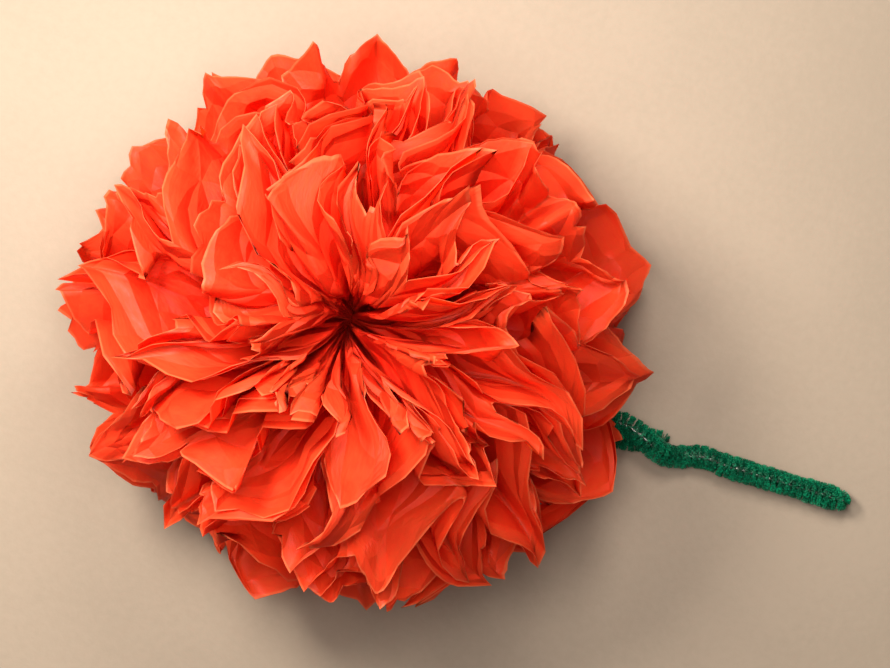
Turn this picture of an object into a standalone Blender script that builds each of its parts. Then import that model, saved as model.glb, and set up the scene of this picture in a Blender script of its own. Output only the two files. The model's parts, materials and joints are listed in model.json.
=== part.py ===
"""A paper marigold: eight tissue sheets tied at the middle by one chenille stem.

The sheets are stacked, folded together like an accordion and gathered at the waist. The pleat
ends are cut to points, and the layers are pulled up one by one into a dome of pointed petals.
The stem loops round the waist, its short leg is twisted round its long leg, and the long leg
lies on the table. The flower faces up, +X runs along the stem and the table is at z = 0.
"""

import math

import bmesh
import bpy
import numpy as np
from mathutils import Vector

MM = 0.001

# The tissue sheets, flat
SHEET_COUNT = 8
SHEET_LENGTH = 229 * MM         # across the pleats
SHEET_WIDTH = 152 * MM          # from point to point, through the tie
PLEATS = 10                     # panels across one sheet
PLEAT_VARIATION = 0.22          # how far a panel's width strays from the mean
POINT_VARIATION = 0.14          # how far a point strays from its panel's middle
POINT_DEPTH = 15 * MM           # how deep the notch between two points is cut
SHALLOWEST_NOTCH = 0.6          # share of that depth
BLUNTEST_POINT = 0.2            # share of that depth cut off a point
SHEET_THICKNESS = 0.4 * MM      # stands in for thin tissue and the air held in its creases

# The waist, where the folded stack is pressed by the tie
LAYER_PITCH = 0.9 * MM          # from one layer to the next
WAIST_HALF_LENGTH = 2.4 * MM    # half the flat strip under the wire
WAIST_HALF_WIDTH = 4.5 * MM
WAIST_ROUNDING = 0.83           # 1 would press the top and bottom layers to nothing
TIE_HEIGHT = 24 * MM            # height of the waist's middle above the table
SLIT_HALF_GAP = 0.5 * MM        # between the two halves of a sheet, where their edges meet
SLIT_CLOSING = 12 * MM          # how far out the two halves take to come together

# The dome: each layer's mean slope, from the lowest sheet to the innermost
INNERMOST_SLOPE = math.radians(64)
SLOPE_EASE = 0.3                # above 0, the upper layers lie closer together
LOWEST_ARCH = math.radians(8)   # how far a petal curves outward from root to tip
INNERMOST_ARCH = math.radians(60)
STEEPEST_ROOT = math.radians(90)
ARCH_STATIONS = 10

# The pleats and how the petals were pulled about
STEEPEST_PLEAT_OUTER = 2.2      # largest rise of a pleat's side over its run
STEEPEST_PLEAT_INNER = 1.5
SHALLOWEST_PLEAT = 0.2          # share of a panel's width
LOWEST_FOLD = 0.55              # the folds' heights, as shares of the mean
HIGHEST_FOLD = 1.15
NARROWEST_FAN = 0.15            # least share of a petal's length that spreads it sideways
PRESSED_LENGTH = 3 * MM         # past the waist's edge, where the folds are still pressed flat
GATHER_LENGTH = 14 * MM         # from there to where the pleats open fully
LAYER_CLEARANCE = 4.5 * MM      # kept between two layers where the pleats are open
NEAREST_LAYER = 0.9             # the most that clearance may ask, in layer steps
ORDER_PASSES = 40
PETAL_SWING = 0.9               # how far single petals lean to their neighbours, in layer steps
FOLD_SWING = 0.7                # the folds' share of that lean; the points have all of it
LEAN_INNER = 0.20               # sideways lean of the pleats, in radians, at the centre
LEAN_OUTER = 0.12
LEAN_CYCLES = 1.9               # how often the lean changes sides from the lowest sheet up
LEAN_SLOWING = 0.7
TURN_TO_CENTRE = 0.25           # slow turn of the layers about the axis, in radians
DRAPE_CLEARANCE = 1.2 * MM      # between the stem and the lowest sheet that lies over it
DRAPE_HALF_WIDTH = 20 * MM
DRAPE_RISE = 10 * MM
TABLE_SOFTNESS = 1.2 * MM
RESTING_GAP = 0.9 * MM           # from a sheet that lies down to the one that rests on it
CRUMPLE_DEPTH = 2.8 * MM
CRUMPLE_SPACING = 64 * MM
CRUMPLE_WAVES = 5
CRUMPLE_FINER = 0.78            # each wave's spacing and depth, beside the last one's
CRUMPLE_WEAKER = 0.74
CRUMPLE_START = 4 * MM          # from the waist's edge
BEND_DEPTH = 2.6 * MM
BEND_SPACING = 42 * MM
BEND_WAVES = 3
BEND_FINER = 0.74
BEND_UNEVENNESS = 0.55           # how far the space between two bending lines strays from the mean
BEND_START = 150 * MM            # the lines start this far off the sheet's corner, to cover all of it
BEND_LINES = 120
FOLD_SEED = 123
HEIGHT_SEED = FOLD_SEED + 1
CRUMPLE_SEED = FOLD_SEED + 3
WIDTH_SEED = FOLD_SEED + 5
NOTCH_SEED = FOLD_SEED + 6
BEND_SEED = FOLD_SEED + 500      # and one more for each sheet

# Waves round the flower: height, turns round it and rate over the layers
PLEAT_RIPPLES = (11, ((0.2, 5, 2), (0.15, 9, -3)))
LAYER_RIPPLES = (12, ((0.03, 3, 2.5), (0.02, 5, -3), (0.02, 8, 3)))
LEAN_RIPPLES = (21, ((0.8, 2, 0), (0.35, 3, 0)))
TURN_RIPPLES = (22, ((0.030, 3, 11), (0.022, 6, -16), (0.014, 9, 21)))
BUNCH_RIPPLES = (23, ((0.08, 5, 4), (0.035, 9, -7)))

# The chenille stem
STEM_LENGTH = 305 * MM
STEM_DIAMETER = 6.3 * MM        # over the pile
PRESSED_RADIUS = 1.8 * MM       # pile pressed together in the tie and the twist
STEM_CLEARANCE = 0.3 * MM
SHORT_LEG_REACH = 89 * MM       # from the flower's axis to the end of the short leg
TWIST_PITCH = 28 * MM
STEM_BOW = math.radians(2.3)    # the stem bends slightly where the short leg ends
STEM_SWEEP = math.radians(2.8)
SHORT_END_GAP = 4.0 * MM        # past the short leg's end, where the long leg's pile starts to open
OPENING_LENGTH = 15 * MM        # and how far it takes
TWIST_STEPS = 11                # points on each turn of the twist
CORNER_STEPS = 3                # steps round each corner of the loop
FREE_STEPS = 3
STEM_SIDES_RESOLUTION = 2

TISSUE_ORANGE = (0.90, 0.10, 0.02, 1.0)
PILE_GREEN = (0.006, 0.075, 0.045, 1.0)

HALF_LENGTH = SHEET_WIDTH / 2 - WAIST_HALF_LENGTH
STACK_HEIGHT = LAYER_PITCH * (SHEET_COUNT - 1)
ROW_PLACES = (0, 0.12, 0.3, 0.48, 0.65, 0.82, 1)
WIDEST_SPREAD = (SHEET_LENGTH / math.pi - WAIST_HALF_LENGTH) / HALF_LENGTH
LOWEST_SLOPE = -math.acos(min(WIDEST_SPREAD, 1))    # the lowest sheet hangs as its length lets it
TWIST_RADIUS = PRESSED_RADIUS + STEM_CLEARANCE / 2
TWIST_REST_HEIGHT = TWIST_RADIUS + PRESSED_RADIUS


def ease(value):
    """Rise smoothly from 0 to 1 as the value goes from 0 to 1."""
    held = np.clip(value, 0, 1)
    return held * held * (3 - 2 * held)


def ripple(waves, azimuth, level):
    """Add up waves round the flower: a seed, then each wave's height, turns and rate over the layers."""
    seed, terms = waves
    random = np.random.RandomState(seed)
    total = 0
    for height, turns, rate in terms:
        total = total + height * np.cos(turns * azimuth + rate * level + random.uniform(0, 2 * math.pi))
    return total


def mean_slope(level):
    """Give a layer's mean slope; level 0 is the lowest sheet and 1 the innermost."""
    eased = (1 + SLOPE_EASE) * level - SLOPE_EASE * level * level
    return LOWEST_SLOPE + (INNERMOST_SLOPE - LOWEST_SLOPE) * eased


def layer_spread(level, along):
    """Give the distance across the layers for one unit of level, at a distance from the tie."""
    rate = (INNERMOST_SLOPE - LOWEST_SLOPE) * (1 + SLOPE_EASE - 2 * SLOPE_EASE * level)
    return along * rate + STACK_HEIGHT


def petal_swings():
    """Pick a lean for each fold and each point of every half sheet.

    The halves of a sheet meet at two edges, and each edge has the same lean on both.
    """
    random = np.random.RandomState(FOLD_SEED)
    values = random.uniform(-1, 1, (SHEET_COUNT, 2, 2 * PLEATS + 1))
    values[:, :, ::2] *= FOLD_SWING
    values[:, 1, 0] = values[:, 0, 0]
    values[:, 1, -1] = values[:, 0, -1]
    return values


def between_lines(values, column):
    """Blend values given at the folds and points of every half sheet over the grid."""
    whole = column.astype(int).clip(0, 2 * PLEATS - 1)
    part = column - whole
    halves = []
    for side in range(2):
        before = values[:, side][:, whole[side]]
        after = values[:, side][:, whole[side] + 1]
        halves.append(before + (after - before) * part[side])
    return np.stack(halves, axis=1)


def fold_places():
    """Place the folds and points across a sheet, as shares of its length."""
    random = np.random.RandomState(WIDTH_SEED)
    widths = random.uniform(1 - PLEAT_VARIATION, 1 + PLEAT_VARIATION, PLEATS)
    folds = np.concatenate([[0], np.cumsum(widths)]) / widths.sum()
    places = np.empty(2 * PLEATS + 1)
    places[::2] = folds
    strays = random.uniform(-POINT_VARIATION, POINT_VARIATION, PLEATS)
    places[1::2] = folds[:-1] + np.diff(folds) * (0.5 + strays)
    return places


def cut_depth(column):
    """Give how deep the edge is cut back over the grid: a notch at each fold, a point between."""
    random = np.random.RandomState(NOTCH_SEED)
    shares = random.uniform(SHALLOWEST_NOTCH, 1, (SHEET_COUNT, 2, 2 * PLEATS + 1))
    shares[:, :, 1::2] = random.uniform(0, BLUNTEST_POINT, (SHEET_COUNT, 2, PLEATS))
    return POINT_DEPTH * between_lines(shares, column)


def bends(column, row):
    """Bend every sheet its own way, along a few straight, unevenly spaced lines."""
    across = column / (2 * PLEATS) * SHEET_LENGTH
    down = row * SHEET_WIDTH / 2
    sheets = []
    for sheet in range(SHEET_COUNT):
        random = np.random.RandomState(BEND_SEED + sheet)
        height = np.zeros_like(across)
        spacing = BEND_SPACING
        depth = BEND_DEPTH
        for _ in range(BEND_WAVES):
            angle = random.uniform(0, math.pi)
            place = across * math.cos(angle) + down * math.sin(angle) + BEND_START
            steps = random.uniform(1 - BEND_UNEVENNESS, 1 + BEND_UNEVENNESS, BEND_LINES)
            lines = np.cumsum(steps) * spacing / 2
            heights = random.uniform(-1, 1, BEND_LINES) * depth
            height += np.interp(place, lines, heights)
            spacing *= BEND_FINER
            depth *= BEND_FINER
        sheets.append(height)
    return np.stack(sheets)


def pleat_wave(column):
    """Give the zigzag of the folds: up on even folds, down on odd ones, 0 on the points between."""
    lines = np.arange(PLEATS + 1)
    random = np.random.RandomState(HEIGHT_SEED)
    heights = np.where(lines % 2 == 0, 1.0, -1.0) * random.uniform(LOWEST_FOLD, HIGHEST_FOLD, PLEATS + 1)
    heights[-1] = heights[0] if PLEATS % 2 == 0 else -heights[0]
    return np.interp(column / 2, lines, heights)


def layer_levels(column, row, along, azimuth):
    """Give the level of every layer at each point of the grid, kept in order from low to high."""
    layers = np.linspace(0, 1, SHEET_COUNT).reshape(-1, 1, 1, 1)
    reach = WAIST_HALF_LENGTH + along * np.maximum(np.cos(mean_slope(layers)), NARROWEST_FAN)
    run = reach * math.pi / PLEATS
    panel = SHEET_LENGTH / PLEATS
    depth = np.sqrt(np.maximum(panel ** 2 - run ** 2, (SHALLOWEST_PLEAT * panel) ** 2))
    steepest = STEEPEST_PLEAT_OUTER + (STEEPEST_PLEAT_INNER - STEEPEST_PLEAT_OUTER) * layers
    depth = np.minimum(depth, steepest * run) * ease((along - PRESSED_LENGTH) / GATHER_LENGTH)
    depth = depth * (1 + ripple(PLEAT_RIPPLES, azimuth, layers))
    spread = layer_spread(layers, along)
    levels = layers + 0.5 * depth / spread * pleat_wave(column)
    opened = ease(along / HALF_LENGTH)
    levels = levels + opened * ripple(LAYER_RIPPLES, azimuth, layers)
    step = 1 / (SHEET_COUNT - 1)
    swing = between_lines(petal_swings(), column)
    levels = levels + PETAL_SWING * step * swing * (along / HALF_LENGTH)
    levels = levels + bends(column, row) * ease((along - CRUMPLE_START) / (2 * GATHER_LENGTH)) / spread
    return keep_in_order(levels, np.minimum(NEAREST_LAYER * step, LAYER_CLEARANCE / spread))


def keep_in_order(levels, gap):
    """Push neighbouring layers apart until each lies at least the gap above the one below it."""
    for _ in range(ORDER_PASSES):
        short = np.maximum(gap[1:] - (levels[1:] - levels[:-1]), 0)
        levels[:-1] -= short / 2
        levels[1:] += short / 2
    return levels


def waist_edge(level):
    """Give half the pressed stack's length and width at a level: it is a rounded bundle."""
    length = WAIST_HALF_LENGTH + STACK_HEIGHT * np.clip(1 - level, 0, 1)
    width = WAIST_HALF_WIDTH * np.sqrt(1 - (WAIST_ROUNDING * np.clip(2 * level - 1, -1, 1)) ** 2)
    return length, width


def arch(level, along):
    """Follow a petal's curve out from the waist's edge; give its reach and its rise."""
    bend = LOWEST_ARCH + (INNERMOST_ARCH - LOWEST_ARCH) * level
    root = np.minimum(mean_slope(level) + bend / 3, STEEPEST_ROOT)
    tip = mean_slope(level) - 2 * bend / 3
    reach = np.zeros_like(level)
    rise = np.zeros_like(level)
    for station in range(ARCH_STATIONS):
        travelled = along * (station + 0.5) / ARCH_STATIONS
        slope = root + (tip - root) * (travelled / HALF_LENGTH) ** 2
        reach = reach + np.cos(slope) * along / ARCH_STATIONS
        rise = rise + np.sin(slope) * along / ARCH_STATIONS
    return reach, rise


def turned(level, along, azimuth):
    """Give how far a point is turned about the axis: pleats lean over, and their spacing varies."""
    lean = LEAN_OUTER + (LEAN_INNER - LEAN_OUTER) * ease(level)
    phase = ripple(LEAN_RIPPLES, azimuth, 0)
    cycles = LEAN_CYCLES * level - LEAN_SLOWING * level * level
    angle = lean * np.sin(2 * math.pi * cycles + phase)
    angle = angle + ripple(TURN_RIPPLES, azimuth, level)
    angle = angle + ease(level) * ripple(BUNCH_RIPPLES, azimuth, level)
    angle = angle + TURN_TO_CENTRE * level
    loop_clear = WAIST_HALF_WIDTH + PRESSED_RADIUS
    return angle * ease((along - loop_clear) / (HALF_LENGTH - loop_clear))


def crumpled(points, fade):
    """Shift the points by a few sharp-creased waves that cross the whole flower."""
    random = np.random.RandomState(CRUMPLE_SEED)
    shift = np.zeros_like(points)
    spacing = CRUMPLE_SPACING
    depth = CRUMPLE_DEPTH
    for _ in range(CRUMPLE_WAVES):
        across = random.normal(size=3)
        across /= np.linalg.norm(across)
        direction = random.normal(size=3)
        direction /= np.linalg.norm(direction)
        phase = random.uniform(0, 2 * math.pi)
        wave = 2 / math.pi * np.arcsin(np.sin(2 * math.pi / spacing * (points @ across) + phase))
        shift += (depth * wave)[..., None] * direction
        spacing *= CRUMPLE_FINER
        depth *= CRUMPLE_WEAKER
    return points + shift * fade[..., None]


def laid_down(points):
    """Let what would sink below the table, the stem or a lower sheet rest just above it."""
    x, y, z = points[..., 0], points[..., 1], points[..., 2]
    stem_top = TWIST_REST_HEIGHT + TWIST_RADIUS + PRESSED_RADIUS + DRAPE_CLEARANCE
    beside = np.exp(-(y / DRAPE_HALF_WIDTH) ** 6)
    ground = SHEET_THICKNESS / 2 + stem_top * beside * ease((x - TWIST_REST_HEIGHT) / DRAPE_RISE)
    ground = ground + RESTING_GAP * np.arange(SHEET_COUNT).reshape(-1, 1, 1, 1)
    lifted = ground + TABLE_SOFTNESS * np.logaddexp(0, (z - ground) / TABLE_SOFTNESS)
    return np.stack([x, y, lifted], axis=-1)


def shaped_layers(column, row):
    """Place the grid points of every layer.

    column counts half pleats across the sheet, and row goes from -1 at one row of points,
    through the waist, to 1 at the other. Both are arrays of shape (2, rows, columns), with
    the two halves of the sheet first. The result has shape (layers, 2, rows, columns, 3).
    """
    side = np.array([-1.0, 1.0]).reshape(2, 1, 1)
    out = np.abs(row)
    share = np.interp(column, np.arange(2 * PLEATS + 1), fold_places())
    fan = (share - 0.5) * math.pi
    azimuth = np.where(side > 0, fan, math.pi - fan)
    along = out * HALF_LENGTH - cut_depth(column) * out ** 3
    level = layer_levels(column, row, along, azimuth)
    reach, rise = arch(level, along)
    half_length, half_width = waist_edge(level)
    closing = ease((reach - 4 * PRESSED_RADIUS) / SLIT_CLOSING) * np.sin(fan) ** 6
    apart = WAIST_HALF_LENGTH + (SLIT_HALF_GAP - WAIST_HALF_LENGTH) * closing
    x = side * (apart + np.cos(fan) * (half_length - WAIST_HALF_LENGTH + reach))
    y = (half_width + reach) * np.sin(fan)
    z = TIE_HEIGHT + (level - 0.5) * STACK_HEIGHT + rise
    angle = turned(level, along, azimuth)
    points = np.stack([x * np.cos(angle) - y * np.sin(angle), x * np.sin(angle) + y * np.cos(angle), z], axis=-1)
    fade = ease((along - CRUMPLE_START) / (2 * GATHER_LENGTH))
    return laid_down(crumpled(points, fade))


def new_material(name, color, roughness, metallic=0.0):
    """Make a plain material."""
    material = bpy.data.materials.new(name)
    material.use_nodes = True
    shader = material.node_tree.nodes["Principled BSDF"]
    shader.inputs["Base Color"].default_value = color
    shader.inputs["Roughness"].default_value = roughness
    shader.inputs["Metallic"].default_value = metallic
    return material


def add_sheets(collection, material):
    """Make the folded sheets: each is a flat grid, moved by the fold formulas and thickened."""
    columns = 2 * PLEATS
    rows = 2 * len(ROW_PLACES) - 1
    column, out = np.meshgrid(np.arange(columns + 1.0), ROW_PLACES)
    points = shaped_layers(np.stack([column, column]), np.stack([-out, out]))
    for layer in range(SHEET_COUNT):
        grid = np.concatenate([points[layer, 0, ::-1], points[layer, 1]])
        bm = bmesh.new()
        bmesh.ops.create_grid(bm, x_segments=columns, y_segments=rows, size=1.0)
        for vert in bm.verts:
            across = round((vert.co.x + 1) / 2 * columns)
            down = round((vert.co.y + 1) / 2 * rows)
            vert.co = Vector(grid[down, across])
        mesh = bpy.data.meshes.new(f"sheet_{layer + 1}")
        bm.to_mesh(mesh)
        bm.free()
        mesh.materials.append(material)
        sheet = bpy.data.objects.new(f"sheet_{layer + 1}", mesh)
        collection.objects.link(sheet)
        solidify = sheet.modifiers.new("Thickness", "SOLIDIFY")
        solidify.thickness = SHEET_THICKNESS
        solidify.offset = 0


def tie_loop():
    """Follow the wire round the waist, in the plane x = 0, from under one side to the other."""
    half_height = (STACK_HEIGHT + SHEET_THICKNESS) / 2
    offset = PRESSED_RADIUS + STEM_CLEARANCE
    path = []
    for y_side, z_side, quarter in ((-1, -1, 3), (-1, 1, 2), (1, 1, 1), (1, -1, 0)):
        for step in range(CORNER_STEPS + 1):
            angle = math.pi / 2 * (quarter - step / CORNER_STEPS)
            y = y_side * WAIST_HALF_WIDTH + offset * math.cos(angle)
            z = z_side * half_height + offset * math.sin(angle)
            path.append(Vector((0, y, TIE_HEIGHT + z)))
    return path


def twist_start_height():
    """Give the height where the two legs come together below the loop."""
    return TIE_HEIGHT - (STACK_HEIGHT + SHEET_THICKNESS) / 2 - 2 * (PRESSED_RADIUS + STEM_CLEARANCE)


def stem_line(run):
    """Follow the middle of the twisted stretch, and of the long leg after it.

    It bends from straight down to level in a quarter circle. Returns the point and its
    normal in the bend's plane.
    """
    radius = twist_start_height() - TWIST_REST_HEIGHT
    quarter = radius * math.pi / 2
    if run < quarter:
        angle = run / radius
        point = Vector((radius * (1 - math.cos(angle)), 0, twist_start_height() - radius * math.sin(angle)))
        normal = Vector((math.cos(angle), 0, math.sin(angle)))
    else:
        point = Vector((radius + run - quarter, 0, TWIST_REST_HEIGHT))
        normal = Vector((0, 0, 1))
    point.y = -math.tan(STEM_BOW) * min(point.x, SHORT_LEG_REACH)
    point.y += math.tan(STEM_SWEEP) * max(point.x - SHORT_LEG_REACH, 0)
    return point, normal


def twisted_run():
    """Give how long the middle line of the twisted stretch is."""
    radius = twist_start_height() - TWIST_REST_HEIGHT
    return SHORT_LEG_REACH - radius + radius * math.pi / 2


def opening(run):
    """Give how far the long leg has opened out past the short leg's end, from 0 to 1."""
    return float(ease((run - twisted_run() - SHORT_END_GAP) / OPENING_LENGTH))


def leg_point(sign, run):
    """Place a point of a leg: it winds about the twist's middle, then comes to lie on the table."""
    point, normal = stem_line(run)
    turn = 2 * math.pi * run / TWIST_PITCH
    offset = math.cos(turn) * Vector((0, 1, 0)) + math.sin(turn) * normal
    opened = opening(run)
    lowered = Vector((0, 0, STEM_DIAMETER / 2 - TWIST_REST_HEIGHT)) * opened
    return point + lowered + sign * TWIST_RADIUS * (1 - opened) * offset


def leg_runs(length):
    """Step along the twist's middle line up to a length, from the loop."""
    steps = round(length / (TWIST_PITCH / TWIST_STEPS))
    return [length * step / steps for step in range(steps + 1)]


def path_length(path):
    """Add up the lengths of a path's steps."""
    return sum((after - before).length for before, after in zip(path, path[1:]))


def stem_path():
    """Give the stem's points and the radius at each, from the short leg's end to the long leg's."""
    short_leg = [leg_point(-1, run) for run in reversed(leg_runs(twisted_run()))]
    long_runs = leg_runs(twisted_run() + SHORT_END_GAP + OPENING_LENGTH)
    path = short_leg + tie_loop() + [leg_point(1, run) for run in long_runs]
    grown = STEM_DIAMETER / 2 - PRESSED_RADIUS
    radii = [PRESSED_RADIUS] * (len(path) - len(long_runs))
    radii += [PRESSED_RADIUS + grown * opening(run) for run in long_runs]
    free = (STEM_LENGTH - path_length(path)) * math.cos(STEM_SWEEP)
    for step in range(1, FREE_STEPS + 1):
        path.append(leg_point(1, long_runs[-1] + free * step / FREE_STEPS))
        radii.append(STEM_DIAMETER / 2)
    return path, radii


def add_stem(collection, material):
    """Make the chenille stem: one curve through both legs and the loop."""
    path, radii = stem_path()
    curve = bpy.data.curves.new("chenille_stem", "CURVE")
    curve.dimensions = "3D"
    curve.bevel_depth = STEM_DIAMETER / 2
    curve.bevel_resolution = STEM_SIDES_RESOLUTION
    curve.use_fill_caps = True
    spline = curve.splines.new("POLY")
    spline.points.add(len(path) - 1)
    for point, place, radius in zip(spline.points, path, radii):
        point.co = (*place, 1)
        point.radius = radius / curve.bevel_depth
    curve.materials.append(material)
    collection.objects.link(bpy.data.objects.new("chenille_stem", curve))


def centre_on_ground(collection):
    """Move everything so that the flower stands at z = 0 with its box centred on the origin."""
    bpy.context.view_layer.update()
    depsgraph = bpy.context.evaluated_depsgraph_get()
    places = []
    for item in collection.objects:
        mesh = item.evaluated_get(depsgraph).to_mesh()
        places.extend(vert.co.copy() for vert in mesh.vertices)
        item.evaluated_get(depsgraph).to_mesh_clear()
    low = Vector(min(place[axis] for place in places) for axis in range(3))
    high = Vector(max(place[axis] for place in places) for axis in range(3))
    for item in collection.objects:
        item.location -= Vector(((low.x + high.x) / 2, (low.y + high.y) / 2, low.z))


def main():
    """Build the flower."""
    for item in list(bpy.data.objects):
        bpy.data.objects.remove(item)
    collection = bpy.data.collections.new("paper_marigold")
    bpy.context.scene.collection.children.link(collection)
    add_sheets(collection, new_material("Orange tissue", TISSUE_ORANGE, 0.55))
    add_stem(collection, new_material("Green pile", PILE_GREEN, 0.9))
    centre_on_ground(collection)


if __name__ == "__main__":
    main()
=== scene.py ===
"""A paper marigold, dressed for its picture.

Eight sheets of orange tissue are stacked, folded together like an accordion, tied at the
middle with one green chenille stem and pulled open into a dome of pointed petals. The sheets
are made as the solid model's are, on a finer grid and with livelier petals, and the crinkles,
curled points and nicked edges of thin paper are added. The stem gets its pile, fibre by fibre.
"""

from __future__ import annotations

import json
import logging
import math
from dataclasses import dataclass, field
from enum import Enum
from typing import Any, Mapping, Union

import bmesh
import bpy
import numpy as np
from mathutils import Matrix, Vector


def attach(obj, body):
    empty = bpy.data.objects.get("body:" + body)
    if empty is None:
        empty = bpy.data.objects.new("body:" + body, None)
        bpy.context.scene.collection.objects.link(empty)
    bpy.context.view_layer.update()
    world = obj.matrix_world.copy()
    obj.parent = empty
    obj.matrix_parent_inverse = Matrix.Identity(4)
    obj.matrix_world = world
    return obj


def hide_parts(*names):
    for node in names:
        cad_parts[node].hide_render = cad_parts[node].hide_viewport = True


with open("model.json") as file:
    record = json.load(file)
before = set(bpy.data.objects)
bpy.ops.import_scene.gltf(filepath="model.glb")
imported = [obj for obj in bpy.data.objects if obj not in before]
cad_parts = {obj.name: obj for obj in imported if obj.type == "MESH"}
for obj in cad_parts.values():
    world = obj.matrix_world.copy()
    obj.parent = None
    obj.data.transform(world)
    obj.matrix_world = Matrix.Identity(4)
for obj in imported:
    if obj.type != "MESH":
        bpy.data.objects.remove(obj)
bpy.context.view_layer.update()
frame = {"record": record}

MM = 0.001
FULL_TURN = 2 * math.pi
LOG = logging.getLogger("paper_marigold")

Colour = tuple[float, float, float]
Place = tuple[float, float, float]
Range = tuple[float, float]


class Slot(Enum):
    """The record's material slots."""

    TISSUE = "tissue"
    PILE = "pile"


class Stream(Enum):
    """The streams of random numbers behind the folds, by their step from the fold seed."""

    SWINGS = 0
    FOLD_HEIGHTS = 1
    CRUMPLES = 3
    PLEAT_WIDTHS = 5
    NOTCHES = 6
    NICKS = 77
    CRINKLES = 500
    TIP_BENDS = 900


# Shader maths


class Signal:
    """A number, vector or colour that leaves a shader node and takes part in expressions."""

    def __init__(self, shader: ShaderTree, socket: bpy.types.NodeSocket) -> None:
        """Wrap the socket of a node in the shader's tree."""
        self.shader = shader
        self.socket = socket

    def _math(self, operation: str, first: Operand, second: Operand = 0.0) -> Signal:
        """Add a Math node for one operation on two values."""
        return self.shader.node("ShaderNodeMath", {"operation": operation}, {0: first, 1: second})

    def __add__(self, other: Operand) -> Signal:
        """Give the sum."""
        return self._math("ADD", self, other)

    def __radd__(self, other: Operand) -> Signal:
        """Give the sum, with the number first."""
        return self._math("ADD", other, self)

    def __sub__(self, other: Operand) -> Signal:
        """Give the difference."""
        return self._math("SUBTRACT", self, other)

    def __rsub__(self, other: Operand) -> Signal:
        """Give the difference, with the number first."""
        return self._math("SUBTRACT", other, self)

    def __mul__(self, other: Operand) -> Signal:
        """Give the product."""
        return self._math("MULTIPLY", self, other)

    def __rmul__(self, other: Operand) -> Signal:
        """Give the product, with the number first."""
        return self._math("MULTIPLY", other, self)

    def __truediv__(self, other: Operand) -> Signal:
        """Give the quotient."""
        return self._math("DIVIDE", self, other)

    def __rtruediv__(self, other: Operand) -> Signal:
        """Give the quotient, with the number first."""
        return self._math("DIVIDE", other, self)

    def spread(self, low: float, high: float) -> Signal:
        """Stretch the part between low and high to the range 0 to 1, and hold it there.

        Args:
            low: The value that becomes 0.
            high: The value that becomes 1.

        Returns:
            The stretched value.
        """
        settings = {"clamp": True, "interpolation_type": "SMOOTHSTEP"}
        inputs = {"Value": self, "From Min": low, "From Max": high}
        return self.shader.node("ShaderNodeMapRange", settings, inputs)

    def tint(self, dark: Paint, light: Paint) -> Signal:
        """Blend two colours by this value, through the Mix node's sockets for colours."""
        settings = {"data_type": "RGBA", "clamp_factor": True}
        return self.shader.node("ShaderNodeMix", settings, {0: self, 6: dark, 7: light}, output=2)

    def stretched(self, by: Place) -> Signal:
        """Scale a vector along each axis."""
        return self.shader.node("ShaderNodeVectorMath", {"operation": "MULTIPLY"}, {0: self, 1: by})


Operand = Union[Signal, float]
Paint = Union[Signal, Colour]


class ShaderTree:
    """A new material and the means to add nodes to it."""

    def __init__(self, name: str) -> None:
        """Make the material and keep its Principled shader and its output.

        Args:
            name: The material's name.
        """
        self.material = bpy.data.materials.new(name)
        self.material.use_nodes = True
        self.tree = self.material.node_tree
        self.principled = self.tree.nodes["Principled BSDF"]
        self.surface = self.tree.nodes["Material Output"].inputs["Surface"]

    def set(self, node: bpy.types.Node, inputs: Mapping[Any, Any]) -> None:
        """Fill a node's sockets.

        Args:
            node: The node.
            inputs: For each socket's name or number, its value or the signal that drives it.
        """
        for key, value in inputs.items():
            socket = node.inputs[key]
            if isinstance(value, Signal):
                self.tree.links.new(value.socket, socket)
            elif isinstance(value, tuple) and len(socket.default_value) == 4:
                socket.default_value = (*value, 1.0)
            else:
                socket.default_value = value

    def node(self, kind: str, settings: Mapping[str, Any], inputs: Mapping[Any, Any],
             output: Any = 0) -> Signal:
        """Add a node.

        Args:
            kind: The node's type.
            settings: Its own settings, which are made first.
            inputs: For each socket's name or number, its value or the signal that drives it.
            output: The name or number of the output to hand on.

        Returns:
            The signal at that output.
        """
        made = self.tree.nodes.new(kind)
        for name, value in settings.items():
            setattr(made, name, value)
        self.set(made, inputs)
        return Signal(self, made.outputs[output])

    def noise(self, place: Signal, scale: float, detail: float, roughness: float = 0.5,
              dimensions: str = "3D") -> Signal:
        """Add a noise pattern, about 0.3 to 0.7, with a number of lumps to a metre."""
        inputs = {"Vector": place, "Scale": scale, "Detail": detail, "Roughness": roughness}
        return self.node("ShaderNodeTexNoise", {"noise_dimensions": dimensions}, inputs)

    def object_place(self) -> Signal:
        """Give the Object coordinates, in metres."""
        return self.node("ShaderNodeTexCoord", {}, {}, output="Object")

    def bump(self, height: Signal, depth: float = 1.0) -> Signal:
        """Give the normal of relief, where a height of 1 is that deep in metres."""
        return self.node("ShaderNodeBump", {}, {"Height": height, "Distance": depth, "Strength": 1.0})


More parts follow.
